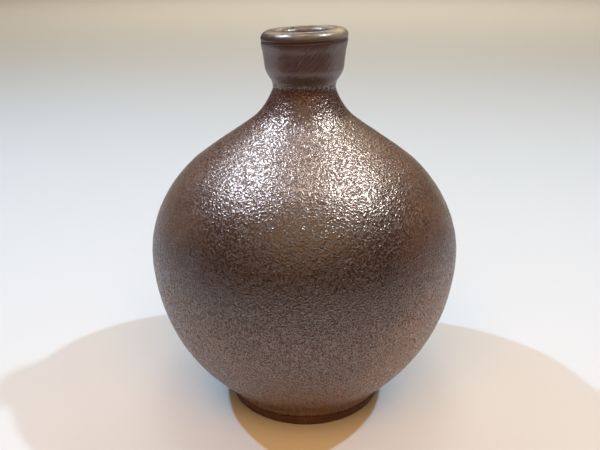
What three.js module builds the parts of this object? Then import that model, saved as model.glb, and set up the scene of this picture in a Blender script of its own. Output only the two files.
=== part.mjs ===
// A globular stoneware sake bottle, one sho in capacity, as a potter puts it together:
// wheel-thrown sections seated in each other and luted with slip before one firing.
// Millimetres, +Z up, origin at the centre of the face that the foot rests on.
// Every section is a solid of revolution: a closed outline of (radius, height) turned about Z.

import * as THREE from 'three';

// ---- Driving dimensions -------------------------------------------------------------------

const SEGMENTS = 48;

// Belly: one ellipse below its widest height and a flatter one above it.
const BELLY_RADIUS = 82.3;
const EQUATOR_Z = 89;
const LOWER_SEMI_AXIS = 92.3;
const UPPER_SEMI_AXIS = 68.9;
const LOWER_WALL = 6;
const UPPER_WALL = 5.7;

// Foot: a low bare ring under a flat floor.
const FOOT_HEIGHT = 6.4;
const FOOT_BOTTOM_RADIUS = 42.4;
const FOOT_TOP_RADIUS = 43.7;
const FOOT_EDGE = 1;
const RECESS_BOTTOM_RADIUS = 33.2;
const RECESS_TOP_RADIUS = 34;
const FLOOR_TOP_Z = 13.4;
const FLOOR_SEAT_RADIUS = 39.2;

// Waist, collar and rolled lip.
const NECK_SEAM = new THREE.Vector2(23.5, 163);
const NECK_SEAM_SLOPE = -0.907;
const WAIST = new THREE.Vector2(16.03, 176.2);
const WAIST_BORE = 11;
const COLLAR_ROOT = new THREE.Vector2(20.1, 187);
const COLLAR_SWELL = new THREE.Vector2(20.9, 194);
const COLLAR_TOP = new THREE.Vector2(21.8, 199.8);
const COLLAR_BORE = 14.2;
const LIP_CENTRE = new THREE.Vector2(17.5, 200.4);
const LIP_HALF_WIDTH = 4.45;
const LIP_HALF_HEIGHT = 4.6;

// Every seat is filled by a ring of slip of this thickness, measured along Z.
const SLIP = 0.6;

// ---- Finishes -----------------------------------------------------------------------------

const FINISHES = {
  saltGlaze: { color: 0x4b372f, roughness: 0.34, metalness: 0 },
  lipGlaze: { color: 0x50463e, roughness: 0.2, metalness: 0 },
  bareClay: { color: 0x4a2d20, roughness: 0.85, metalness: 0 },
  slip: { color: 0x5b4537, roughness: 0.8, metalness: 0 },
};

// ---- Outline helpers ----------------------------------------------------------------------

const at = (radius, z) => new THREE.Vector2(radius, z);

// Radius of the belly at a height, a wall's thickness inside the outer skin.
function bellyRadius(z, inset) {
  const semiAxis = z < EQUATOR_Z ? LOWER_SEMI_AXIS : UPPER_SEMI_AXIS;
  const reach = (z - EQUATOR_Z) / (semiAxis - inset);
  return (BELLY_RADIUS - inset) * Math.sqrt(1 - reach * reach);
}

// How fast that radius changes with height.
function bellySlope(z, inset) {
  const step = 0.01;
  return (bellyRadius(z + step, inset) - bellyRadius(z - step, inset)) / (2 * step);
}

// A run of points down or up the belly, closer together where it curves most.
function bellyRun(zFrom, zTo, inset, steps) {
  const semiAxis = Math.max(zFrom, zTo) <= EQUATOR_Z + 5 ? LOWER_SEMI_AXIS : UPPER_SEMI_AXIS;
  const angleOf = (z) => Math.asin((z - EQUATOR_Z) / (semiAxis - inset));
  const start = angleOf(zFrom);
  const turn = angleOf(zTo) - start;
  const heights = Array.from({ length: steps + 1 }, (_, i) => {
    return EQUATOR_Z + (semiAxis - inset) * Math.sin(start + (turn * i) / steps);
  });
  return heights.map((z) => at(bellyRadius(z, inset), z));
}

// A run along a curve that leaves and arrives with given slopes (radius over height).
function blendRun(from, fromSlope, fromReach, to, toSlope, toReach, steps) {
  const leave = at(from.x + fromSlope * fromReach, from.y + fromReach);
  const arrive = at(to.x - toSlope * toReach, to.y - toReach);
  return new THREE.CubicBezierCurve(from, leave, arrive, to).getPoints(steps);
}

// Turns runs of points into a solid ring or disc about Z.
function turned(...runs) {
  const points = [];
  for (const point of runs.flat()) {
    const last = points.at(-1);
    if (!last || last.distanceTo(point) > 1e-4) points.push(point);
  }
  const open = points.every((point) => point.x > 0);
  if (open) points.push(points[0].clone());
  return new THREE.LatheGeometry(points, SEGMENTS).rotateX(Math.PI / 2);
}

// The slip in a seat: the seat's line from outside to inside, and the same line lifted.
function slipRing(outer, inner) {
  const lift = at(0, SLIP);
  return turned([outer, outer.clone().add(lift), inner.clone().add(lift), inner]);
}

// ---- Seats between the sections, as lines from the outside to the inside -------------------

const lifted = (point) => at(point.x, point.y + SLIP);

const FOOT_SEAT_Z = FOOT_HEIGHT + SLIP;
const EQUATOR_RISE = 3;
const EQUATOR_INNER_Z = EQUATOR_Z + EQUATOR_RISE;
const equatorSeat = {
  outer: at(BELLY_RADIUS, EQUATOR_Z - SLIP / 2),
  inner: at(bellyRadius(EQUATOR_INNER_Z, LOWER_WALL), EQUATOR_INNER_Z),
};
const neckSeat = { outer: NECK_SEAM, inner: at(17.3, 160) };
const waistSeat = { outer: WAIST, inner: at(WAIST_BORE, WAIST.y + 1.5) };
const lipSeat = { outer: at(21.3, COLLAR_TOP.y), inner: at(14.4, COLLAR_TOP.y) };
const floorSeat = {
  outer: at(FLOOR_SEAT_RADIUS, FOOT_SEAT_Z),
  inner: at(bellyRadius(FLOOR_TOP_Z, LOWER_WALL), FLOOR_TOP_Z),
};

// ---- Sections, from the foot up -----------------------------------------------------------

function footRing() {
  return turned([
    at(RECESS_BOTTOM_RADIUS + FOOT_EDGE, 0),
    at(FOOT_BOTTOM_RADIUS - FOOT_EDGE, 0),
    at(FOOT_BOTTOM_RADIUS, FOOT_EDGE),
    at(FOOT_TOP_RADIUS, FOOT_HEIGHT),
    at(RECESS_TOP_RADIUS, FOOT_HEIGHT),
    at(RECESS_BOTTOM_RADIUS, FOOT_EDGE),
  ]);
}

function footSeamSlip() {
  return slipRing(at(FOOT_TOP_RADIUS, FOOT_HEIGHT), at(RECESS_TOP_RADIUS, FOOT_HEIGHT));
}

function baseDisc() {
  return turned([
    at(0, FOOT_SEAT_Z),
    at(floorSeat.outer.x - SLIP, FOOT_SEAT_Z),
    at(floorSeat.inner.x - SLIP, FLOOR_TOP_Z),
    at(0, FLOOR_TOP_Z),
  ]);
}

function baseSeamSlip() {
  return turned([
    floorSeat.outer,
    floorSeat.inner,
    at(floorSeat.inner.x - SLIP, FLOOR_TOP_Z),
    at(floorSeat.outer.x - SLIP, FOOT_SEAT_Z),
  ]);
}

// The bowl that holds most of the sake: a short flare off the foot, then the lower ellipse.
function lowerBelly() {
  const flareTop = at(bellyRadius(19.5, 0), 19.5);
  const flare = new THREE.QuadraticBezierCurve(at(44.6, FOOT_SEAT_Z), at(47.8, 13), flareTop);
  return turned(
    flare.getPoints(3),
    bellyRun(flareTop.y, equatorSeat.outer.y, 0, 8).slice(0, -1),
    [equatorSeat.outer, equatorSeat.inner],
    bellyRun(equatorSeat.inner.y, FLOOR_TOP_Z, LOWER_WALL, 8).slice(1, -1),
    [floorSeat.inner, floorSeat.outer],
  );
}

// The dome over it: the upper ellipse, then a hollow shoulder that sweeps in to the neck.
function upperBelly() {
  const outerTurn = at(bellyRadius(140, 0), 140);
  const innerTurn = at(bellyRadius(136.5, UPPER_WALL), 136.5);
  const rimInner = lifted(equatorSeat.inner);
  const rimOuter = lifted(equatorSeat.outer);
  const inside = blendRun(innerTurn, bellySlope(136.5, UPPER_WALL), 12, neckSeat.inner, -0.9, 4.5, 4);
  return turned(
    [rimOuter],
    bellyRun(rimOuter.y, outerTurn.y, 0, 7).slice(1),
    blendRun(outerTurn, bellySlope(140, 0), 12, NECK_SEAM, NECK_SEAM_SLOPE, 4.9, 5),
    inside.reverse(),
    bellyRun(innerTurn.y, rimInner.y, UPPER_WALL, 6).slice(1, -1),
    [rimInner],
  );
}

// The neck nests in the shoulder's seat and narrows to the waist.
function neck() {
  const bottom = lifted(neckSeat.outer);
  const bore = blendRun(lifted(neckSeat.inner), -0.75, 6, waistSeat.inner, 0, 4, 4);
  return turned(blendRun(bottom, NECK_SEAM_SLOPE, 5.1, WAIST, 0, 1, 4), bore.reverse());
}

// The collar swells from the waist to an almost straight band, and flares a little at its top.
function mouthCollar() {
  return turned(
    blendRun(lifted(waistSeat.outer), 0, 4.3, COLLAR_ROOT, 0.11, 4.6, 5),
    blendRun(COLLAR_SWELL, 0.13, 1.6, COLLAR_TOP, 0, 2.4, 3),
    [at(COLLAR_BORE, COLLAR_TOP.y), at(WAIST_BORE + 1.8, WAIST.y + 9)],
    [lifted(waistSeat.inner)],
  );
}

// A coil rolled over the mouth: the upper half of an oval, with the flat under it on the slip.
function lipRoll() {
  const { x, y } = LIP_CENTRE;
  const oval = new THREE.EllipseCurve(x, y, LIP_HALF_WIDTH, LIP_HALF_HEIGHT, 0, Math.PI);
  return turned(oval.getPoints(14));
}

// ---- Assembly -----------------------------------------------------------------------------

const sections = [
  ['foot_ring', footRing(), 'bareClay'],
  ['foot_seam_slip', footSeamSlip(), 'slip'],
  ['base_disc', baseDisc(), 'bareClay'],
  ['base_seam_slip', baseSeamSlip(), 'slip'],
  ['lower_belly', lowerBelly(), 'saltGlaze'],
  ['belly_seam_slip', slipRing(equatorSeat.outer, equatorSeat.inner), 'slip'],
  ['upper_belly', upperBelly(), 'saltGlaze'],
  ['neck_seam_slip', slipRing(neckSeat.outer, neckSeat.inner), 'slip'],
  ['neck', neck(), 'saltGlaze'],
  ['collar_seam_slip', slipRing(waistSeat.outer, waistSeat.inner), 'slip'],
  ['mouth_collar', mouthCollar(), 'saltGlaze'],
  ['lip_seam_slip', slipRing(lipSeat.outer, lipSeat.inner), 'slip'],
  ['lip_roll', lipRoll(), 'lipGlaze'],
];

const group = new THREE.Group();
for (const [name, geometry, finish] of sections) {
  const mesh = new THREE.Mesh(geometry, new THREE.MeshStandardMaterial(FINISHES[finish]));
  mesh.name = name;
  group.add(mesh);
}

export default group;
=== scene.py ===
# %% [markdown]
# # A salt-glazed sake bottle
# This lesson builds a globular stoneware bottle in sections, as a potter may: a foot ring, a floor,
# two thrown bowls for the belly, a neck, a collar and a rolled lip, luted with slip and fired once in
# salt vapour. A bottle of this size can also be thrown in one piece, and the firing makes one body of
# it either way, so the seams here are an assumption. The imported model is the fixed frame: the main
# sizes below are read from it, and each new piece takes the place of one of its plain solids.

# %% Load the frame
import math
from collections import namedtuple

import bmesh
import bpy
from mathutils import Matrix, Vector, geometry, noise


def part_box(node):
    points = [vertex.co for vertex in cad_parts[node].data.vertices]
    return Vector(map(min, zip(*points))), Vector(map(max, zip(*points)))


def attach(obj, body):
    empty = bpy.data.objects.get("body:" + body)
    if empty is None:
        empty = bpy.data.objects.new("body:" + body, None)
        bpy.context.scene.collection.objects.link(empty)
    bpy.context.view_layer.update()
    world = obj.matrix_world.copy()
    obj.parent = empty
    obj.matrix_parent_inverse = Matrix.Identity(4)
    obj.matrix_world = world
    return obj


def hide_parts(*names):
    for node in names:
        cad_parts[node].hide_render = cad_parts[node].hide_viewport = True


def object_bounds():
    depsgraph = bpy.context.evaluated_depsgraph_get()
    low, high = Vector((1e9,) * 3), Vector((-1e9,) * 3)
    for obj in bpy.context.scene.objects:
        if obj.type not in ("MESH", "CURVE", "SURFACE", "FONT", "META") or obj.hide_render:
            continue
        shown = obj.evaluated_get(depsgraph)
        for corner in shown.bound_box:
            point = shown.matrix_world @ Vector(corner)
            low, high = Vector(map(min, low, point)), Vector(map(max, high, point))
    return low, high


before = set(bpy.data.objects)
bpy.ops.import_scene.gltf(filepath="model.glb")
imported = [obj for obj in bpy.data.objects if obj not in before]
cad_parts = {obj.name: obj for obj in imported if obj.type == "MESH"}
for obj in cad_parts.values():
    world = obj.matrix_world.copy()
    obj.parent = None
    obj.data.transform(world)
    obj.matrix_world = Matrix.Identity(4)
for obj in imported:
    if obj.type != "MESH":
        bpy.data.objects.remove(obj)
cad_bounds = [list(corner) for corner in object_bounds()]
MM = 0.001
print("frame:", len(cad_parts), "nodes, height", round(cad_bounds[1][2] / MM, 1), "mm")

# %% [markdown]
# ## The camera
# A bottle on a table is looked at from a little above its mouth. A lens of about 42 mm from arm's
# length makes the foot show more of its ellipse than the mouth does, which is what tells the eye
# how near the bottle is. The aim is a touch to the left, so the bottle stands just right of centre.

# %% Camera
CAMERA_DISTANCE = 358.8 * MM
CAMERA_HEIGHT = 239.2 * MM
CAMERA_PITCH = math.radians(21.13)
CAMERA_TURN = math.radians(0.35)
LENS_MM = 41.97

camera_data = bpy.data.cameras.new("camera")
camera_data.lens = LENS_MM
camera_data.sensor_width = 36
camera_data.clip_start = 0.01
camera = bpy.data.objects.new("camera", camera_data)
camera.location = (0, -CAMERA_DISTANCE, CAMERA_HEIGHT)
camera.rotation_euler = (math.pi / 2 - CAMERA_PITCH, 0, CAMERA_TURN)
bpy.context.collection.objects.link(camera)
bpy.context.scene.camera = camera
bpy.context.scene.view_settings.view_transform = "Standard"
print("camera: lens", LENS_MM, "mm, pitch", round(math.degrees(CAMERA_PITCH), 1), "degrees down")

# %% [markdown]
# ## The outline of the bottle
# A thrown pot is a profile turned about the wheel's axis. The belly is one ellipse below its widest
# height and a flatter one above it, and the shoulder sweeps into the neck on a smooth curve. A
# profile could be typed in as many points, but a formula keeps the curve fair and lets the rows be
# as close together as the glaze's dimples need.

# %% Driving values, from the frame
lower_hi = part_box("lower_belly")[1]
slip_lo, slip_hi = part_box("foot_seam_slip")
disc_lo, disc_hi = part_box("base_disc")
collar_lo, collar_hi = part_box("mouth_collar")
lip_lo, lip_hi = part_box("lip_roll")

SLIP = slip_hi.z - slip_lo.z
BELLY_RADIUS = lower_hi.x
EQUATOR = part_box("belly_seam_slip")[0].z + SLIP / 2
LOWER_AXIS = 92.3 * MM
UPPER_AXIS = 68.9 * MM
LOWER_WALL = 6 * MM
UPPER_WALL = 5.7 * MM
NECK_SEAM_SLOPE = -0.907
WAIST = Vector((16.03 * MM, collar_lo.z - SLIP))
WAIST_BORE = 11 * MM
print("belly radius", round(BELLY_RADIUS / MM, 1), "mm at height", round(EQUATOR / MM, 1), "mm")


# %% Curves of the outline
def belly_radius(z, inset=0.0):
    """Radius of the belly at a height, a wall's thickness inside the outer skin."""
    semi_axis = LOWER_AXIS if z < EQUATOR else UPPER_AXIS
    reach = (z - EQUATOR) / (semi_axis - inset)
    return (BELLY_RADIUS - inset) * math.sqrt(1 - reach * reach)


def belly_run(z_from, z_to, inset=0.0, samples=400):
    """Fine points along the belly between two heights."""
    heights = [z_from + (z_to - z_from) * i / samples for i in range(samples + 1)]
    return [Vector((belly_radius(z, inset), z)) for z in heights]


def belly_slope(z, inset=0.0):
    """Change of radius with height on the belly."""
    step = 0.01 * MM
    return (belly_radius(z + step, inset) - belly_radius(z - step, inset)) / (2 * step)


def blend_run(start, start_slope, start_reach, end, end_slope, end_reach, samples=120):
    """Fine points on a fair curve that leaves and arrives with given slopes."""
    leave = start + Vector((start_slope, 1)) * start_reach * MM
    arrive = end - Vector((end_slope, 1)) * end_reach * MM
    return [point.copy() for point in geometry.interpolate_bezier(start, leave, arrive, end, samples)]


def arc_run(centre, half_width, half_height, start, end, samples=60):
    """Fine points on part of an ellipse, between two angles in degrees from outward."""
    angles = [math.radians(start + (end - start) * i / samples) for i in range(samples + 1)]
    return [centre + Vector((half_width * math.cos(a), half_height * math.sin(a))) for a in angles]


print("shoulder slope at 140 mm:", round(belly_slope(140 * MM), 2))

# %% [markdown]
# ## Stations, and turning them
# A run of fine points becomes stations at an even spacing. Each station also says how much of the
# outer skin it is (1 on the glazed outside, 0 on a seat, -1 inside) and how far the surface leans
# back there, because two sections that meet must be pushed in the same direction to stay closed.
# The stations are spun about the axis with bmesh's spin: first one wedge, then copies of the wedge
# round the axis, which is much quicker than hundreds of steps in one go. A screw modifier could
# turn them too, but spin copies the stations' values to every vertex, and the hand work reads them.

# %% Stations
Station = namedtuple("Station", "radius z skin lean")
OUTSIDE = 1.0
SEAT = 0.0
INSIDE = -1.0
WEDGES = 20


def stations(run, spacing, skin):
    """Evenly spaced stations along a run, both ends kept."""
    lengths = [0.0]
    for a, b in zip(run, run[1:]):
        lengths.append(lengths[-1] + (b - a).length)
    count = max(1, round(lengths[-1] / spacing))
    result = []
    j = 0
    for i in range(count + 1):
        target = lengths[-1] * i / count
        while j < len(run) - 2 and lengths[j + 1] < target:
            j += 1
        a, b = run[j], run[j + 1]
        share = (target - lengths[j]) / max(lengths[j + 1] - lengths[j], 1e-12)
        point = a.lerp(b, min(max(share, 0.0), 1.0))
        result.append(Station(point.x, point.y, skin, math.atan2(a.x - b.x, b.y - a.y)))
    return result


def spin_outline(outline, steps):
    """A closed skin of revolution from a loop of stations, with their values on its vertices."""
    kept = []
    for station in outline:
        if not kept or math.dist(station[:2], kept[-1][:2]) > 1e-3 * MM:
            kept.append(station)
    bm = bmesh.new()
    skin = bm.verts.layers.float.new("skin")
    lean = bm.verts.layers.float.new("lean")
    line = []
    for station in kept:
        vert = bm.verts.new((station.radius, 0, station.z))
        vert[skin] = station.skin
        vert[lean] = station.lean
        line.append(vert)
    pairs = list(zip(line, line[1:]))
    if min(station.radius for station in kept) > 1e-9:
        pairs.append((line[-1], line[0]))
    edges = [bm.edges.new(pair) for pair in pairs]
    wedge = math.tau / WEDGES
    bmesh.ops.spin(bm, geom=line + edges, axis=(0, 0, 1), cent=(0, 0, 0),
                   angle=wedge, steps=steps // WEDGES)
    bmesh.ops.spin(bm, geom=bm.verts[:] + bm.edges[:] + bm.faces[:], axis=(0, 0, 1), cent=(0, 0, 0),
                   angle=math.tau - wedge, steps=WEDGES - 1, use_duplicate=True)
    bmesh.ops.remove_doubles(bm, verts=bm.verts, dist=1e-3 * MM)
    bmesh.ops.recalc_face_normals(bm, faces=bm.faces)
    return bm


print("stations at 1 mm on the lower belly:",
      len(stations(belly_run(20 * MM, EQUATOR), 1 * MM, OUTSIDE)))

# %% [markdown]
# ## The potter's hand
# A wheel leaves the pot a little out of round, the foot a little off centre and the mouth a little
# tilted. This is one smooth move of the whole space, so every section takes it alike and the seats
# still fit. The relief of the surface is a push along the surface's own direction: long swells and
# the salt glaze's lumps outside, finger ridges inside. The mesh carries waves of about 2 mm and more;
# the smaller dimples are left to the material, because no mesh of a sane size holds them.

# %% Hand work
FOOT_OFFSET = 0.9 * MM
MOUTH_TILT = 0.045
OVAL = 0.004
FINGER_PITCH = 7.5 * MM


def ease(low, high, value):
    """0 below low, 1 above high, smooth between."""
    t = min(max((value - low) / (high - low), 0.0), 1.0)
    return t * t * (3 - 2 * t)


def hand_move(co):
    """The whole bottle's lean, ovality and tilted mouth."""
    angle = math.atan2(co.y, co.x)
    on_belly = ease(10 * MM, 60 * MM, co.z) * (1 - ease(140 * MM, 175 * MM, co.z))
    oval = 1 + OVAL * math.cos(2 * angle + 0.7) * on_belly
    off_centre = FOOT_OFFSET * (1 - ease(2 * MM, 40 * MM, co.z))
    tilt = MOUTH_TILT * ease(184 * MM, lip_lo.z, co.z) * co.x
    return Vector((co.x * oval + off_centre, co.y * oval, co.z + tilt))


def outer_relief(co):
    """Height of the outer skin over the turned profile."""
    swell = 0.35 * noise.noise(co / (34 * MM)) + 0.10 * noise.noise(co / (9 * MM))
    swell *= ease(0, 30 * MM, co.z) * (1 - 0.8 * ease(165 * MM, 180 * MM, co.z))
    peel = 0.08 * noise.noise(co / (2.6 * MM)) + 0.08 * noise.noise(co / (1.4 * MM))
    peel *= ease(8 * MM, 20 * MM, co.z) * (1 - 0.8 * ease(174 * MM, 188 * MM, co.z))
    return (swell + peel) * MM


def inner_relief(co):
    """Finger ridges that climb the inside, and a little unevenness."""
    climb = co.z + FINGER_PITCH * math.atan2(co.y, co.x) / math.tau
    ridges = 0.35 * math.sin(math.tau * climb / FINGER_PITCH)
    belly = 1 - ease(140 * MM, 165 * MM, co.z)
    return (ridges * belly + 0.2 * noise.noise(co / (12 * MM))) * MM


def work_by_hand(bm, relief=outer_relief, inside=inner_relief):
    """Pushes the skins along their lean, then moves everything as the hand did."""
    skin = bm.verts.layers.float["skin"]
    lean = bm.verts.layers.float["lean"]
    for vert in bm.verts:
        amount = 0.0
        if vert[skin] > 0:
            amount = relief(vert.co) * vert[skin]
        elif vert[skin] < 0:
            amount = -inside(vert.co) * vert[skin]
        if amount:
            around = Vector((vert.co.x, vert.co.y, 0)).normalized()
            push = around * math.cos(vert[lean]) + Vector((0, 0, math.sin(vert[lean])))
            vert.co += push * amount
        vert.co = hand_move(vert.co)


print("relief at the front of the shoulder:",
      round(outer_relief(Vector((0, -0.06, 0.13))) / MM, 3), "mm")

# %% [markdown]
# ## Helpers for procedural finishes
# Every finish is built from nodes, so it has detail at any distance. Effects that several finishes
# share are node groups with named sockets: the orange peel of salt glaze, soft patches of colour,
# bands that follow the wheel, and specks of iron. Each finish places them with its own values.


# %% Node helpers
def fill(tree, socket, value):
    """Links a socket to another, or sets its value."""
    if isinstance(value, bpy.types.NodeSocket):
        tree.links.new(value, socket)
    elif value is not None:
        socket.default_value = value


def add_node(tree, kind, settings=(), **inputs):
    """A shader node with settings and inputs by name, underscores standing for spaces."""
    node = tree.nodes.new("ShaderNode" + kind)
    for key, value in dict(settings).items():
        setattr(node, key, value)
    for key, value in inputs.items():
        fill(tree, node.inputs[key.replace("_", " ")], value)
    return node


def maths(tree, operation, *values):
    """A Math node's result."""
    node = add_node(tree, "Math", {"operation": operation})
    for socket, value in zip(node.inputs, values):
        fill(tree, socket, value)
    return node.outputs[0]


def vector_maths(tree, operation, *values, result="Vector"):
    """A Vector Math node's result."""
    node = add_node(tree, "VectorMath", {"operation": operation})
    for socket, value in zip(node.inputs, values):
        fill(tree, socket, value)
    return node.outputs[result]


def smooth_range(tree, value, low, high, to_low=0.0, to_high=1.0):
    """Value eased from one range to another, and held at its ends."""
    return add_node(tree, "MapRange", {"interpolation_type": "SMOOTHSTEP"}, Value=value,
                    From_Min=low, From_Max=high, To_Min=to_low, To_Max=to_high).outputs[0]


def mix_colours(tree, mask, a, b):
    """Colour a where the mask is 0 and b where it is 1."""
    node = add_node(tree, "Mix", {"data_type": "RGBA"})
    for index, value in ((0, mask), (6, a), (7, b)):
        fill(tree, node.inputs[index], value)
    return node.outputs[2]


def new_group(name, inputs, outputs):
    """An empty node group with named sockets, with its inner ends."""
    tree = bpy.data.node_groups.new(name, "ShaderNodeTree")
    kinds = {"vector": "NodeSocketVector", "float": "NodeSocketFloat", "colour": "NodeSocketColor"}
    for label, kind, default in inputs:
        socket = tree.interface.new_socket(label, in_out="INPUT", socket_type=kinds[kind])
        if default is not None:
            socket.default_value = default
    for label, kind in outputs:
        tree.interface.new_socket(label, in_out="OUTPUT", socket_type=kinds[kind])
    return tree, tree.nodes.new("NodeGroupInput").outputs, tree.nodes.new("NodeGroupOutput").inputs


def place_group(tree, group, **inputs):
    """A group placed in a material, with its inputs set or linked; returns its outputs."""
    node = tree.nodes.new("ShaderNodeGroup")
    node.node_tree = group
    for key, value in inputs.items():
        fill(tree, node.inputs[key.replace("_", " ")], value)
    return node.outputs


print("node helpers ready")

# %% [markdown]
# ## Orange peel
# Salt vapour melts into beads of glass that crowd together like the skin of an orange, with pits
# between them. A cell pattern would look stamped, so the group uses one band of noise whose lattice
# is as wide as a bead, bent a little by a slower noise. The lowest places of the same noise are the
# pits, which are given out as a mask; the glaze darkens its colour there and loses its gloss.

# %% Orange peel group
peel_group, peel_in, peel_out = new_group(
    "orange peel",
    [("Vector", "vector", None), ("Bead", "float", 0.001), ("Wander", "float", 0.4)],
    [("Height", "float"), ("Pit", "float")],
)
bead_vector = vector_maths(peel_group, "DIVIDE", peel_in["Vector"], peel_in["Bead"])
slow_noise = add_node(peel_group, "TexNoise", Vector=bead_vector, Scale=0.35, Detail=0.0)
centred = vector_maths(peel_group, "SUBTRACT", slow_noise.outputs["Color"], (0.5, 0.5, 0.5))
bent = vector_maths(peel_group, "MULTIPLY_ADD", centred, peel_in["Wander"], bead_vector)
bead_noise = add_node(peel_group, "TexNoise", Vector=bent, Scale=1.0, Detail=1.0, Roughness=0.4)
fill(peel_group, peel_out["Height"], bead_noise.outputs[0])
fill(peel_group, peel_out["Pit"], smooth_range(peel_group, bead_noise.outputs[0], 0.38, 0.5, 1.0, 0.0))
print("group:", peel_group.name, "with", len(peel_group.nodes), "nodes")

# %% [markdown]
# ## Patches, bands and specks
# The kiln does not colour a pot evenly. Flame side and lee side differ in big soft patches, the
# wheel leaves bands, and iron in the clay bursts in specks. Three small groups give those masks.

# %% Colour mask groups
patch_group, patch_in, patch_out = new_group(
    "soft patches",
    [("Vector", "vector", None), ("Size", "float", 0.03), ("Amount", "float", 0.5),
     ("Softness", "float", 0.12), ("Seed", "float", 0.0)],
    [("Mask", "float")],
)
patch_vector = vector_maths(patch_group, "DIVIDE", patch_in["Vector"], patch_in["Size"])
patch_noise = add_node(patch_group, "TexNoise", {"noise_dimensions": "4D"}, Vector=patch_vector,
                       W=patch_in["Seed"], Scale=1.0, Detail=4.0, Roughness=0.6)
patch_level = maths(patch_group, "SUBTRACT", 1.0, patch_in["Amount"])
fill(patch_group, patch_out["Mask"], smooth_range(
    patch_group, patch_noise.outputs[0],
    maths(patch_group, "SUBTRACT", patch_level, patch_in["Softness"]),
    maths(patch_group, "ADD", patch_level, patch_in["Softness"])))

spot_group, spot_in, spot_out = new_group(
    "one soft spot",
    [("Vector", "vector", None), ("Centre", "vector", None), ("Reach", "float", 0.02),
     ("Wander", "float", 0.01)],
    [("Mask", "float")],
)
spot_noise = add_node(spot_group, "TexNoise", Vector=spot_in["Vector"], Scale=90.0, Detail=4.0)
spot_away = vector_maths(spot_group, "DISTANCE", spot_in["Vector"], spot_in["Centre"], result="Value")
spot_shift = maths(spot_group, "MULTIPLY", maths(spot_group, "SUBTRACT", spot_noise.outputs[0], 0.5),
                   maths(spot_group, "MULTIPLY", spot_in["Wander"], 2.0))
fill(spot_group, spot_out["Mask"], smooth_range(
    spot_group, maths(spot_group, "ADD", spot_away, spot_shift),
    maths(spot_group, "MULTIPLY", spot_in["Reach"], 0.35), spot_in["Reach"], 1.0, 0.0))

band_group, band_in, band_out = new_group(
    "wheel band",
    [("Vector", "vector", None), ("Low", "float", 0.0), ("High", "float", 0.1),
     ("Softness", "float", 0.004), ("Wander", "float", 0.004)],
    [("Mask", "float")],
)
band_noise = add_node(band_group, "TexNoise", Vector=band_in["Vector"], Scale=60.0, Detail=3.0)
band_z = add_node(band_group, "SeparateXYZ", Vector=band_in["Vector"]).outputs["Z"]
band_shift = maths(band_group, "MULTIPLY", maths(band_group, "SUBTRACT", band_noise.outputs[0], 0.5),
                   maths(band_group, "MULTIPLY", band_in["Wander"], 2.0))
band_height = maths(band_group, "ADD", band_z, band_shift)
band_rise = smooth_range(band_group, band_height,
                         maths(band_group, "SUBTRACT", band_in["Low"], band_in["Softness"]),
                         maths(band_group, "ADD", band_in["Low"], band_in["Softness"]))
band_fall = smooth_range(band_group, band_height,
                         maths(band_group, "SUBTRACT", band_in["High"], band_in["Softness"]),
                         maths(band_group, "ADD", band_in["High"], band_in["Softness"]), 1.0, 0.0)
fill(band_group, band_out["Mask"], maths(band_group, "MULTIPLY", band_rise, band_fall))

speck_group, speck_in, speck_out = new_group(
    "iron specks",
    [("Vector", "vector", None), ("Spacing", "float", 0.004), ("Size", "float", 0.15),
     ("Share", "float", 0.4)],
    [("Mask", "float")],
)
speck_vector = vector_maths(speck_group, "DIVIDE", speck_in["Vector"], speck_in["Spacing"])
speck_cells = add_node(speck_group, "TexVoronoi", Vector=speck_vector, Scale=1.0)
speck_pick = add_node(speck_group, "SeparateColor", Color=speck_cells.outputs["Color"]).outputs["Red"]
speck_chosen = maths(speck_group, "LESS_THAN", speck_pick, speck_in["Share"])
speck_dot = smooth_range(speck_group, speck_cells.outputs["Distance"],
                         maths(speck_group, "MULTIPLY", speck_in["Size"], 0.5), speck_in["Size"], 1.0, 0.0)
fill(speck_group, speck_out["Mask"], maths(speck_group, "MULTIPLY", speck_chosen, speck_dot))
print("groups:", [group.name for group in bpy.data.node_groups])


# %% A new finish
def new_finish(name, roughness, **shader_inputs):
    """A material with its Principled shader and Object coordinates."""
    material = bpy.data.materials.new(name)
    material.use_nodes = True
    tree = material.node_tree
    shader = tree.nodes["Principled BSDF"]
    shader.inputs["Roughness"].default_value = roughness
    for key, value in shader_inputs.items():
        shader.inputs[key.replace("_", " ")].default_value = value
    place = tree.nodes.new("ShaderNodeTexCoord").outputs["Object"]
    return material, tree, shader, place


def add_bump(tree, shader, height, depth):
    """Small relief of a given depth in metres, through the shader's normal."""
    bump = add_node(tree, "Bump", Strength=1.0, Distance=depth, Height=height)
    fill(tree, shader.inputs["Normal"], bump.outputs[0])


print("finishes start from a Principled shader and Object coordinates")

# %% [markdown]
# ## The salt glaze
# One finish covers the belly, the neck and the collar, so it runs over their seams as real glaze
# does. Its colour changes with height: red brown above the foot and on the lower belly, nearly black
# round the widest part, umber on the shoulder and a dark red throat, with soft rust, tan and grey
# places over that. A kiln does colour a pot unevenly, but these strengths were set under the lamps
# below. Part of the dark middle and of the light lower flanks is shade and mirrored light held as
# pigment, and it stays in any other light. The peel is a little coarser on the shoulder than below,
# and almost gone on the collar, which has the slanting strokes of a wiping cloth.
# The broken highlights come from the peel. The index of refraction is 2.25 with a warm specular
# tint, both uniform values on the shader. Real salt glaze is nearer 1.5: the higher value makes the
# mirrored floor bright enough against the dark body under these lamps, and looks too glossy in others.

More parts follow.
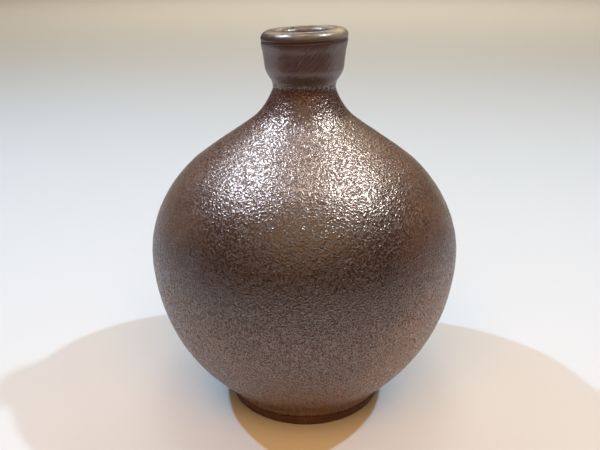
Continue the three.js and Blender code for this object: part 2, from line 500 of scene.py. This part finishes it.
# %% Salt glaze colours
OCHRE = (0.260, 0.150, 0.080, 1)
RUST = (0.060, 0.018, 0.009, 1)
PLUM = (0.034, 0.020, 0.019, 1)
DARK_PIT_AND_SPECK = (0.012, 0.006, 0.004, 1)
# Tan and grey of the lower flanks: partly glaze colour, partly painted reflection of the pale floor.
TAN_AND_FLOOR_SHEEN = (0.260, 0.150, 0.100, 1)
GREY_AND_FLOOR_SHEEN = (0.120, 0.090, 0.088, 1)
BOTTLE_HEIGHT = cad_bounds[1][2]
# The near-black stop at 92 mm is partly painted shade and painted reflection of a dark room, held as
# pigment.
HEIGHT_COLOURS = (
    (8 * MM, (0.060, 0.022, 0.009, 1)),
    (15 * MM, (0.105, 0.032, 0.013, 1)),
    (32 * MM, (0.108, 0.038, 0.022, 1)),
    (60 * MM, (0.050, 0.014, 0.009, 1)),
    (92 * MM, (0.015, 0.004, 0.002, 1)),
    (120 * MM, (0.026, 0.012, 0.007, 1)),
    (150 * MM, (0.060, 0.027, 0.016, 1)),
    (171 * MM, (0.038, 0.012, 0.007, 1)),
    (190 * MM, (0.028, 0.005, 0.003, 1)),
)


def height_colours(tree, height, stops):
    """A colour that changes smoothly with height, from (height, colour) stops."""
    ramp = add_node(tree, "ValToRGB", Fac=maths(tree, "DIVIDE", height, BOTTLE_HEIGHT))
    elements = ramp.color_ramp.elements
    ramp.color_ramp.interpolation = "EASE"
    for _ in range(len(stops) - 2):
        elements.new(0.5)
    for element, (z, colour) in zip(elements, stops):
        element.position = z / BOTTLE_HEIGHT
        element.color = colour
    return ramp.outputs[0]


def tint(tree, colour, mask, amount, other):
    """A colour changed to another by an amount where a mask says so."""
    return mix_colours(tree, maths(tree, "MULTIPLY", mask, amount), colour, other)


print("the glaze runs through", len(HEIGHT_COLOURS), "colours from foot to collar")

# %% Salt glaze
WARM_LUSTRE = (1.0, 0.88, 0.83, 1)
salt_glaze, tree, shader, place = new_finish("salt_glaze", 0.3, IOR=2.25, Specular_Tint=WARM_LUSTRE)
place_xyz = add_node(tree, "SeparateXYZ", Vector=place).outputs
drift = add_node(tree, "TexNoise", Vector=place, Scale=38.0, Detail=3.0).outputs[0]
drift_z = maths(tree, "MULTIPLY_ADD", drift, 0.03, maths(tree, "SUBTRACT", place_xyz["Z"], 0.015))
colour = height_colours(tree, drift_z, HEIGHT_COLOURS)

mottle = place_group(tree, patch_group, Vector=place, Size=0.007, Amount=0.5, Softness=0.18,
                     Seed=1.0)
colour = tint(tree, colour, mottle["Mask"], 0.06, (0.13, 0.080, 0.055, 1))
# Soft spots of rust and plum in the glaze. The two low on the flanks, tan and grey, are partly glaze
# colour and partly painted reflection of the pale floor.
FLAME_SPOTS_AND_FLOOR_SHEEN = (
    ((0.066, -0.040, 0.092), 0.050, RUST, 0.75),
    ((0.020, -0.070, 0.062), 0.040, RUST, 0.30),
    ((-0.030, 0.072, 0.105), 0.060, RUST, 0.60),
    ((-0.068, -0.036, 0.100), 0.055, PLUM, 0.70),
    ((0.004, -0.050, 0.150), 0.020, RUST, 0.45),
    ((0.058, -0.034, 0.046), 0.062, TAN_AND_FLOOR_SHEEN, 0.8),
    ((-0.056, -0.036, 0.046), 0.060, GREY_AND_FLOOR_SHEEN, 0.6),
)
for centre, reach, spot_colour, amount in FLAME_SPOTS_AND_FLOOR_SHEEN:
    spot = place_group(tree, spot_group, Vector=place, Centre=centre, Reach=reach, Wander=0.012)
    colour = tint(tree, colour, spot["Mask"], amount, spot_colour)

# Ochre ash patches on the shoulder band, kept to the flanks that face left and right: partly ash colour,
# partly a painted reflection of warm light at the side edges.
ash = place_group(tree, patch_group, Vector=place, Size=0.022, Amount=0.6, Softness=0.16, Seed=4.0)
shoulder = place_group(tree, band_group, Vector=place, Low=0.112, High=0.152, Softness=0.01, Wander=0.01)
sheen_flank = smooth_range(tree, maths(tree, "ABSOLUTE", place_xyz["X"]), 0.038, 0.062)
ash_and_sheen_mask = maths(tree, "MULTIPLY", maths(tree, "MULTIPLY", ash["Mask"], shoulder["Mask"]), sheen_flank)
colour = tint(tree, colour, ash_and_sheen_mask, 0.28, OCHRE)

throat = place_group(tree, band_group, Vector=place, Low=0.158, High=0.178, Softness=0.004, Wander=0.006)
throat_specks = place_group(tree, speck_group, Vector=place, Spacing=0.0026, Size=0.4, Share=0.16)
throat_mask = maths(tree, "MULTIPLY", throat["Mask"], throat_specks["Mask"])
colour = tint(tree, colour, throat_mask, 0.6, (0.22, 0.085, 0.03, 1))
foot_band = place_group(tree, band_group, Vector=place, Low=-0.01, High=0.013, Softness=0.003,
                        Wander=0.005)
foot_specks = place_group(tree, speck_group, Vector=place, Spacing=0.005, Size=0.3, Share=0.3)
foot_mask = maths(tree, "MULTIPLY", foot_band["Mask"], foot_specks["Mask"])
colour = tint(tree, colour, foot_mask, 0.8, OCHRE)

# %% Salt glaze relief
coarse = smooth_range(tree, place_xyz["Z"], 0.075, 0.135)
fine_peel = place_group(tree, peel_group, Vector=place, Bead=0.00085, Wander=1.2)
coarse_peel = place_group(tree, peel_group, Vector=place, Bead=0.001, Wander=1.2)
wiped = smooth_range(tree, place_xyz["Z"], 0.174, 0.186, 1.0, 0.14)
bare = smooth_range(tree, place_xyz["Z"], 0.009, 0.024, 0.2, 1.0)
salted = maths(tree, "MULTIPLY", wiped, bare)


def blend(tree, share, a, b):
    """Value a where the share is 0 and b where it is 1."""
    return maths(tree, "MULTIPLY_ADD", maths(tree, "SUBTRACT", b, a), share, a)


peel_height = blend(tree, coarse, maths(tree, "MULTIPLY", fine_peel["Height"], 3.0),
                    maths(tree, "MULTIPLY", coarse_peel["Height"], 1.5))
pits = maths(tree, "MULTIPLY", blend(tree, coarse, fine_peel["Pit"], coarse_peel["Pit"]), salted)
# The pits are darker in colour, and so are the burst specks below.
colour = tint(tree, colour, pits, 0.85, DARK_PIT_AND_SPECK)
burst = place_group(tree, speck_group, Vector=place, Spacing=0.017, Size=0.06, Share=0.5)
colour = tint(tree, colour, burst["Mask"], 0.9, DARK_PIT_AND_SPECK)
fill(tree, shader.inputs["Base Color"], colour)
gloss = smooth_range(tree, pits, 0.0, 1.0, 0.24, 0.75)
satin = smooth_range(tree, wiped, 0.14, 1.0, 0.14, 0.0)
fill(tree, shader.inputs["Roughness"], maths(tree, "ADD", gloss, satin))
STROKE_SIZE = (0.0009, 0.0014, 0.006)
STROKE_LEAN = math.radians(40)
streaks = add_node(tree, "Mapping", {"vector_type": "TEXTURE"}, Vector=place,
                   Rotation=(0, STROKE_LEAN, 0), Scale=STROKE_SIZE)
wipe_marks = add_node(tree, "TexNoise", Vector=streaks.outputs[0], Scale=1.0, Detail=2.0).outputs[0]
wipe_amount = smooth_range(tree, place_xyz["Z"], 0.170, 0.184, 0.0, 0.9)
wipe_height = maths(tree, "MULTIPLY", wipe_marks, wipe_amount)
relief = maths(tree, "MULTIPLY_ADD", peel_height, salted, wipe_height)
relief = maths(tree, "MULTIPLY_ADD", burst["Mask"], -0.4, relief)
add_bump(tree, shader, relief, 0.00028)
print("finish:", salt_glaze.name, "with", len(tree.nodes), "nodes")

# %% [markdown]
# ## The lip's glaze, the bare clay and the slip
# The lip caught more ash and was wiped smooth, so its glaze is glossier and greyer where the ash
# pooled, with a few burst blisters. An olive spot on its right side is partly olive glaze and partly a
# painted highlight of the right lamp, and the dark brown under the roll is painted shade. The foot
# and the floor stayed bare: iron-brown clay with grit in it. The inside saw little salt, and the slip
# in the joints is paler.

# %% Lip glaze
lip_glaze, tree, shader, place = new_finish("lip_glaze", 0.25, IOR=1.62)
lip_xyz = add_node(tree, "SeparateXYZ", Vector=place).outputs
pooled = place_group(tree, patch_group, Vector=place, Size=0.009, Amount=0.5, Softness=0.2, Seed=2.0)
# An olive spot on the lip's right: partly olive glaze, partly a painted highlight of the right lamp.
olive_and_highlight_spot = place_group(tree, spot_group, Vector=place, Centre=(0.020, -0.006, 0.205), Reach=0.018,
                         Wander=0.004)
blisters = place_group(tree, speck_group, Vector=place, Spacing=0.006, Size=0.12, Share=0.12)
colour = mix_colours(tree, pooled["Mask"], (0.046, 0.034, 0.031, 1), (0.078, 0.066, 0.062, 1))
colour = tint(tree, colour, olive_and_highlight_spot["Mask"], 0.8, (0.19, 0.185, 0.14, 1))
# The roll's underside is darker: painted shade.
lip_underside_shade = smooth_range(tree, lip_xyz["Z"], 0.2005, 0.2032, 1.0, 0.0)
colour = tint(tree, colour, lip_underside_shade, 0.8, (0.036, 0.020, 0.016, 1))
colour = mix_colours(tree, blisters["Mask"], colour, (0.5, 0.46, 0.4, 1))
fill(tree, shader.inputs["Base Color"], colour)
lip_waves = add_node(tree, "TexNoise", Vector=place, Scale=260.0, Detail=2.0)
fill(tree, shader.inputs["Roughness"], smooth_range(tree, lip_waves.outputs[0], 0.3, 0.7, 0.28, 0.42))
lip_height = maths(tree, "MULTIPLY_ADD", blisters["Mask"], 0.6, lip_waves.outputs[0])
add_bump(tree, shader, lip_height, 0.0003)
print("finish:", lip_glaze.name)


# %% Bare clays
def clay_finish(name, pale, dark, roughness, grit_depth, ring_pitch):
    """Unglazed stoneware: mottled, gritty, with the fine rings that turning leaves."""
    material, tree, shader, place = new_finish(name, roughness)
    mottle = place_group(tree, patch_group, Vector=place, Size=0.006, Amount=0.5, Softness=0.2, Seed=7.0)
    grit = place_group(tree, speck_group, Vector=place, Spacing=0.0022, Size=0.3, Share=0.3)
    grain = add_node(tree, "TexNoise", Vector=place, Scale=1600.0, Detail=4.0, Roughness=0.65)
    drawn_out = vector_maths(tree, "MULTIPLY", place, (25.0, 25.0, 1 / ring_pitch))
    rings = add_node(tree, "TexNoise", Vector=drawn_out, Scale=1.0, Detail=3.0)
    colour = mix_colours(tree, mottle["Mask"], dark, pale)
    colour = tint(tree, colour, rings.outputs[0], 0.7, dark)
    colour = tint(tree, colour, grit["Mask"], 0.6, pale)
    fill(tree, shader.inputs["Base Color"], colour)
    fill(tree, shader.inputs["Roughness"], smooth_range(
        tree, grain.outputs[0], 0.3, 0.7, roughness - 0.1, roughness + 0.08))
    relief = maths(tree, "MULTIPLY_ADD", rings.outputs[0], 1.2, grain.outputs[0])
    add_bump(tree, shader, maths(tree, "MULTIPLY_ADD", grit["Mask"], 0.5, relief), grit_depth)
    return material


foot_clay = clay_finish(
    "foot_clay", (0.130, 0.056, 0.024, 1), (0.055, 0.024, 0.011, 1), 0.72, 0.00016, 0.0011)
inner_clay = clay_finish(
    "inner_clay", (0.12, 0.070, 0.048, 1), (0.040, 0.024, 0.017, 1), 0.55, 0.00010, 0.0025)
slip_clay = clay_finish(
    "slip_clay", (0.20, 0.130, 0.088, 1), (0.080, 0.048, 0.032, 1), 0.85, 0.00010, 0.0009)
print("finishes:", foot_clay.name, inner_clay.name, slip_clay.name)


# %% [markdown]
# ## Turning the sections
# Each section is a loop of stations: up its outside, in over the upper seat, down its inside and
# out over the lower seat. The outer skins of two neighbours end on the same ring of vertices, so
# the glaze runs on without a gap, and the seats open behind it to leave room for the slip.

# %% Seats and finishing
TURN_STEPS = 600
SKIN_SPACING = 0.9 * MM
INSIDE_SPACING = 2.6 * MM
SEAT_SPACING = 2.0 * MM
SEAT_START = 0.16


def mm_point(radius, z):
    """A point of the outline given in millimetres."""
    return Vector((radius, z)) * MM


def lifted(point, rise=SLIP):
    """The same point, higher by the slip's thickness."""
    return point + Vector((0, rise))


def seat_points(outer, inner, rise=0.0):
    """A seat's line from just under the skin to the inside."""
    return [lifted(outer.lerp(inner, SEAT_START), rise), lifted(inner, rise)]


def finish_piece(bm, name, node, outside, inside=None):
    """Makes the object, gives it its finishes and puts it in the node's place."""
    skin = bm.verts.layers.float["skin"]
    for face in bm.faces:
        face.smooth = True
        if inside and not all(vert[skin] > 0 for vert in face.verts):
            face.material_index = 1
    mesh = bpy.data.meshes.new(name)
    bm.to_mesh(mesh)
    bm.free()
    mesh.set_sharp_from_angle(angle=math.radians(60))
    for material in filter(None, (outside, inside)):
        mesh.materials.append(material)
    piece = bpy.data.objects.new(name, mesh)
    bpy.context.collection.objects.link(piece)
    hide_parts(node)
    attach(piece, "root")
    triangles = sum(len(face.vertices) - 2 for face in mesh.polygons)
    print(name, "has", triangles, "triangles")
    return piece


EQUATOR_EDGE = Vector((BELLY_RADIUS, EQUATOR))
EQUATOR_INSIDE = EQUATOR + 3 * MM
EQUATOR_SEAT = (lifted(EQUATOR_EDGE, -SLIP / 2),
                Vector((belly_radius(EQUATOR_INSIDE, LOWER_WALL), EQUATOR_INSIDE)))
NECK_SEAT = (mm_point(23.5, 163), mm_point(17.3, 160))
WAIST_SEAT = (WAIST, Vector((WAIST_BORE, WAIST.y + 1.5 * MM)))
NECK_EDGE = mm_point(23.4, 163.3)
WAIST_EDGE = lifted(WAIST, SLIP / 2)
FLOOR_TOP = disc_hi.z
FLOOR_SEAT = (Vector((disc_hi.x + SLIP, disc_lo.z)),
              Vector((belly_radius(FLOOR_TOP, LOWER_WALL), FLOOR_TOP)))
print("seats at", [round(seat[0].y / MM, 1) for seat in (EQUATOR_SEAT, NECK_SEAT, WAIST_SEAT)], "mm")

# %% Lower belly
wall_edge = mm_point(44.6, 7.0)
FLARE_TOP_Z = 19.5 * MM
flare_top = Vector((belly_radius(FLARE_TOP_Z), FLARE_TOP_Z))
flare = blend_run(wall_edge + mm_point(0.1, 0.4), 0.3, 3.6, flare_top, 1.015, 4.33)
rim = arc_run(wall_edge + mm_point(-0.3, 0.4), 0.4 * MM, 0.4 * MM, -90, 0, 8)
lower_skin = stations(rim + flare[1:] + belly_run(flare_top.y, EQUATOR)[1:], SKIN_SPACING, OUTSIDE)
lower_outline = (
    lower_skin
    + stations(seat_points(*EQUATOR_SEAT), SEAT_SPACING, SEAT)
    + stations(belly_run(EQUATOR_SEAT[1].y, FLOOR_TOP, LOWER_WALL), INSIDE_SPACING, INSIDE)
    + stations([FLOOR_SEAT[1], FLOOR_SEAT[0]], SEAT_SPACING, SEAT)
)
bm = spin_outline(lower_outline, TURN_STEPS)
work_by_hand(bm)
finish_piece(bm, "lower_belly_wall", "lower_belly", salt_glaze, inner_clay)

# %% Upper belly
TURN_Z = 140 * MM
INNER_TURN_Z = 136.5 * MM
shoulder_turn = Vector((belly_radius(TURN_Z), TURN_Z))
shoulder = blend_run(shoulder_turn, belly_slope(TURN_Z), 12, NECK_EDGE, NECK_SEAM_SLOPE, 4.9)
inner_turn = Vector((belly_radius(INNER_TURN_Z, UPPER_WALL), INNER_TURN_Z))
inner_slope = belly_slope(INNER_TURN_Z, UPPER_WALL)
inner_shoulder = blend_run(inner_turn, inner_slope, 12, NECK_SEAT[1], -0.9, 4.5)
inside_run = inner_shoulder[::-1] + belly_run(inner_turn.y, EQUATOR_SEAT[1].y + SLIP, UPPER_WALL)[1:]
upper_outline = (
    stations(belly_run(EQUATOR, shoulder_turn.y) + shoulder[1:], SKIN_SPACING, OUTSIDE)
    + stations(seat_points(*NECK_SEAT), SEAT_SPACING, SEAT)
    + stations(inside_run, INSIDE_SPACING, INSIDE)
    + stations(seat_points(*EQUATOR_SEAT, rise=SLIP)[::-1], SEAT_SPACING, SEAT)
)
bm = spin_outline(upper_outline, TURN_STEPS)
work_by_hand(bm)
finish_piece(bm, "upper_belly_dome", "upper_belly", salt_glaze, inner_clay)

# %% Neck
neck_bore = blend_run(lifted(NECK_SEAT[1]), -0.75, 6, WAIST_SEAT[1], 0, 4)
neck_outline = (
    stations(blend_run(NECK_EDGE, NECK_SEAM_SLOPE, 5.3, WAIST_EDGE, 0, 1), 0.45 * MM, OUTSIDE)
    + stations(seat_points(*WAIST_SEAT), SEAT_SPACING, SEAT)
    + stations(neck_bore[::-1], 1.2 * MM, INSIDE)
    + stations(seat_points(*NECK_SEAT, rise=SLIP)[::-1], SEAT_SPACING, SEAT)
)
bm = spin_outline(neck_outline, TURN_STEPS)
work_by_hand(bm)
finish_piece(bm, "neck_section", "neck", salt_glaze, inner_clay)

# %% Collar
COLLAR_ROOT = mm_point(20.1, 187)
COLLAR_SWELL = mm_point(20.9, 194)
COLLAR_TOP = Vector((collar_hi.x, collar_hi.z))
COLLAR_EDGE = 0.25 * MM
LIP_SEAT = (mm_point(21.72, 199.8), mm_point(14.4, 199.8))
edge_centre = COLLAR_TOP - Vector((COLLAR_EDGE, COLLAR_EDGE))
collar_side = (
    blend_run(WAIST_EDGE, 0, 4.3, COLLAR_ROOT, 0.11, 4.6)
    + blend_run(COLLAR_SWELL, 0.13, 1.6, COLLAR_TOP - Vector((0, COLLAR_EDGE)), 0, 2.0)
    + arc_run(edge_centre, COLLAR_EDGE, COLLAR_EDGE, 0, 80, 10)
)
collar_bore = [mm_point(14.2, 199.8), mm_point(12.8, 185.2), mm_point(11.4, 180)]
collar_outline = (
    stations(collar_side, 0.45 * MM, OUTSIDE)
    + stations(LIP_SEAT, 1.0 * MM, SEAT)
    + stations(collar_bore + [lifted(WAIST_SEAT[1])], 1.2 * MM, INSIDE)
    + stations(seat_points(*WAIST_SEAT, rise=SLIP)[::-1], SEAT_SPACING, SEAT)
)
bm = spin_outline(collar_outline, TURN_STEPS)
work_by_hand(bm)
finish_piece(bm, "collar_section", "mouth_collar", salt_glaze, inner_clay)

# %% Rolled lip
LIP_OVERHANG = 4.45 * MM
LIP_CENTRE = Vector((lip_hi.x - LIP_OVERHANG, lip_lo.z + 0.9 * MM))
LIP_CROWN = lip_hi.z - LIP_CENTRE.y
LIP_TUCK = LIP_CENTRE.y - lip_lo.z
outer_tuck = arc_run(LIP_CENTRE + Vector((LIP_OVERHANG - LIP_TUCK, 0)), LIP_TUCK, LIP_TUCK, -90, 0, 12)
inner_tuck = arc_run(LIP_CENTRE - Vector((LIP_OVERHANG - LIP_TUCK, 0)), LIP_TUCK, LIP_TUCK, 180, 270, 12)
lip_crown = arc_run(LIP_CENTRE, LIP_OVERHANG, LIP_CROWN, 0, 180, 160)
lip_run = outer_tuck + lip_crown[1:] + inner_tuck[1:]
bm = spin_outline(stations(lip_run, 0.35 * MM, OUTSIDE), TURN_STEPS)
work_by_hand(bm)
finish_piece(bm, "lip_coil", "lip_roll", lip_glaze)


# %% [markdown]
# ## Foot ring and floor
# The ring is a strip of clay turned true on the upside-down pot, so its edges are soft and carry
# fine rings. The floor's marks are assumed, as they are out of sight: the shell-shaped swirl of arcs
# that a twisted cutting cord leaves under a pot, and a spiral from the potter's finger on top.

# %% Foot ring
def rounded_loop(corners, radius):
    """A closed run through corners that are softened by a given radius."""
    run = []
    for i, corner in enumerate(corners):
        before = (corners[i - 1] - corner).normalized() * radius
        after = (corners[(i + 1) % len(corners)] - corner).normalized() * radius
        curve = geometry.interpolate_bezier(corner + before, corner + before * 0.4,
                                            corner + after * 0.4, corner + after, 10)
        run.extend(point.copy() for point in curve)
    return run + [run[0].copy()]


def foot_relief(co):
    """Turning rings, grit and a few knocks on the bare foot."""
    rings = 0.05 * math.sin(math.tau * co.z / (1.3 * MM) + 2 * noise.noise(co / (15 * MM)))
    knocks = 0.35 * max(noise.noise(co / (6 * MM)) - 0.35, 0)
    return (rings + 0.06 * noise.noise(co / (1.6 * MM)) - knocks) * MM * ease(0.1 * MM, 1.2 * MM, co.z)


foot_corners = [mm_point(42.4, 0), mm_point(44.4, 6.4), mm_point(34, 6.4), mm_point(33.2, 0)]
bm = spin_outline(stations(rounded_loop(foot_corners, 1.1 * MM), 0.5 * MM, OUTSIDE)[:-1], TURN_STEPS)
work_by_hand(bm, foot_relief)
finish_piece(bm, "foot_ring_turned", "foot_ring", foot_clay)


# %% Floor
def cord_cut_relief(co):
    """The shell of arcs that a cutting cord leaves under the floor."""
    away = math.hypot(co.x - 14 * MM, co.y + 22 * MM)
    return 0.13 * MM * math.sin(math.tau * away / (1.9 * MM) + 1.5 * noise.noise(co / (8 * MM)))


def finger_spiral(co):
    """The spiral of the potter's finger on the floor."""
    around = math.atan2(co.y, co.x) / math.tau
    return 0.45 * MM * math.sin(math.tau * (math.hypot(co.x, co.y) / (8 * MM) + around))


floor_outline = (
    stations([Vector((0, disc_lo.z)), Vector((disc_hi.x, disc_lo.z))], 0.8 * MM, OUTSIDE)
    + stations([Vector((FLOOR_SEAT[1].x - SLIP, FLOOR_TOP)), Vector((0, FLOOR_TOP))], 0.8 * MM,
               INSIDE)
)
bm = spin_outline(floor_outline, 300)
work_by_hand(bm, cord_cut_relief, finger_spiral)
finish_piece(bm, "floor_disc", "base_disc", foot_clay, inner_clay)

# %% [markdown]
# ## Slip in the joints
# Slip is clay let down with water. It is brushed on both seats, and when the sections are pressed
# together some of it squeezes out inside as a soft bead. Each ring fills the room between two
# seats and ends in that bead.

# %% Slip rings
SLIP_STEPS = 240
BEAD = 0.8 * MM


def slip_ring(node, seat, finish=slip_clay, start=SEAT_START):
    """The ring of slip between two seats, with a bead squeezed out inside."""
    outer, inner = seat
    skin_end = outer.lerp(inner, start)
    bead = arc_run(lifted(inner, SLIP / 2), -BEAD, SLIP * 0.9, 90, -90, 10)
    run = [skin_end, inner] + bead[::-1] + [lifted(inner), lifted(skin_end), skin_end]
    bm = spin_outline(stations(run, 0.45 * MM, SEAT)[:-1], SLIP_STEPS)
    work_by_hand(bm)
    return finish_piece(bm, node + "_bead", node, finish)


slip_ring("belly_seam_slip", EQUATOR_SEAT)
slip_ring("neck_seam_slip", NECK_SEAT)
slip_ring("collar_seam_slip", WAIST_SEAT)
slip_ring("foot_seam_slip", (Vector((slip_hi.x, slip_lo.z)), mm_point(34, 6.4)), start=0.04)
slip_ring("lip_seam_slip", LIP_SEAT, lip_glaze, start=0.0)
slip_ring("base_seam_slip", FLOOR_SEAT)

# %% [markdown]
# ## Floor, light and air
# The bottle stands on a plain pale floor, which the lower belly mirrors. A glossy round pot shows
# the whole room, so what lights the glaze and what it mirrors are set apart here. Two small key lamps
# on either side light the surfaces and throw the crossed shadows, but are not mirrored. Two broader
# sheen lamps, a little higher, are only mirrored, and give the shoulders their fields of broken
# highlight. A warm fill lights the foot and the floor under the belly. Real lamps can't be split like
# this: it makes each effect easy to set, at the cost of being true only under this light.

# %% Floor
floor_material, tree, shader, place = new_finish("pale_floor", 0.7)
paper = add_node(tree, "TexNoise", Vector=place, Scale=900.0, Detail=3.0)
fill(tree, shader.inputs["Base Color"], mix_colours(
    tree, paper.outputs[0], (0.49, 0.54, 0.59, 1), (0.51, 0.56, 0.61, 1)))
add_bump(tree, shader, paper.outputs[0], 0.00004)
bm = bmesh.new()
bmesh.ops.create_grid(bm, x_segments=8, y_segments=8, size=6)
floor_mesh = bpy.data.meshes.new("pale_floor")
bm.to_mesh(floor_mesh)
bm.free()
floor_mesh.materials.append(floor_material)
floor = bpy.data.objects.new("pale_floor", floor_mesh)
bpy.context.collection.objects.link(floor)
print("floor laid")


# %% [markdown]
# ## A black flag
# Studios stand black cloth in front of a shiny pot, so that its middle mirrors
# something dark. This flag is a half cylinder spun from one edge. Only mirror rays see it: it throws
# no shadow and takes no light from the bottle. It is staging and not part of the object.

# %% Black flag
FLAG_RADIUS = 0.33
FLAG_HEIGHT = 0.235
FLAG_TURN = math.radians(150)

flag_material, tree, shader, place = new_finish("black_flag", 0.9)
felt = add_node(tree, "TexNoise", Vector=place, Scale=700.0, Detail=2.0)
fill(tree, shader.inputs["Base Color"], mix_colours(
    tree, felt.outputs[0], (0.010, 0.008, 0.007, 1), (0.020, 0.016, 0.014, 1)))
bm = bmesh.new()
flag_start = Vector((0, -FLAG_RADIUS, 0))
flag_start.rotate(Matrix.Rotation(-FLAG_TURN / 2, 3, "Z"))
flag_line = [bm.verts.new(flag_start), bm.verts.new(flag_start + Vector((0, 0, FLAG_HEIGHT)))]
bmesh.ops.spin(bm, geom=flag_line + [bm.edges.new(flag_line)], axis=(0, 0, 1), cent=(0, 0, 0),
               angle=FLAG_TURN, steps=30)
flag_mesh = bpy.data.meshes.new("black_flag")
bm.to_mesh(flag_mesh)
bm.free()
flag_mesh.materials.append(flag_material)
flag = bpy.data.objects.new("black_flag", flag_mesh)
bpy.context.collection.objects.link(flag)
flag.visible_camera = False
flag.visible_diffuse = False
flag.visible_shadow = False
print("flag stands", FLAG_RADIUS, "m in front")


# %% Lights
def add_lamp(name, position, size, watts, colour, depth=None, aim=(0, 0, 0.1)):
    """A soft area light that faces the bottle: a disk, or a rectangle where a depth is given."""
    data = bpy.data.lights.new(name, "AREA")
    data.shape = "RECTANGLE" if depth else "DISK"
    data.size = size
    if depth:
        data.size_y = depth
    data.energy = watts
    data.color = colour
    lamp = bpy.data.objects.new(name, data)
    lamp.location = position
    lamp.rotation_euler = (Vector(aim) - Vector(position)).to_track_quat("-Z", "Y").to_euler()
    bpy.context.collection.objects.link(lamp)
    return lamp


key_left = add_lamp("key_left", (-0.849, 0.163, 1.26), 0.05, 13.5, (0.45, 0.81, 1.10))
key_right = add_lamp("key_right", (0.828, 0.023, 1.26), 0.05, 13.5, (0.60, 0.85, 1.02))
sheen_left = add_lamp("sheen_left", (-0.68, 0.20, 1.27), 0.34, 15.0, (0.84, 0.96, 1.14))
sheen_right = add_lamp("sheen_right", (0.64, 0.03, 1.32), 0.34, 15.0, (0.98, 1.02, 0.98))
add_lamp("lamp_front", (0.0, -0.9, 1.04), 1.5, 2.7, (1.0, 0.78, 0.5), depth=0.9)
add_lamp("lamp_above", (0.0, 0.1, 1.6), 0.4, 4.0, (1.0, 0.93, 0.82), depth=0.4)
add_lamp("lamp_behind", (0.3, 3.2, 2.2), 4.0, 105.0, (1.0, 0.82, 0.58), depth=2.5, aim=(0.3, 3.3, 0.0))
fill_lamp = add_lamp("lamp_fill", (0.0, -0.8, 1.1), 1.2, 20.0, (1.0, 0.46, 0.13), depth=0.8)
for lamp in (key_left, key_right, fill_lamp):
    lamp.visible_glossy = False
for lamp in (sheen_left, sheen_right):
    lamp.visible_diffuse = False

world = bpy.data.worlds.new("room")
world.use_nodes = True
background = world.node_tree.nodes["Background"]
background.inputs["Color"].default_value = (0.085, 0.055, 0.04, 1)
background.inputs["Strength"].default_value = 1.0
bpy.context.scene.world = world
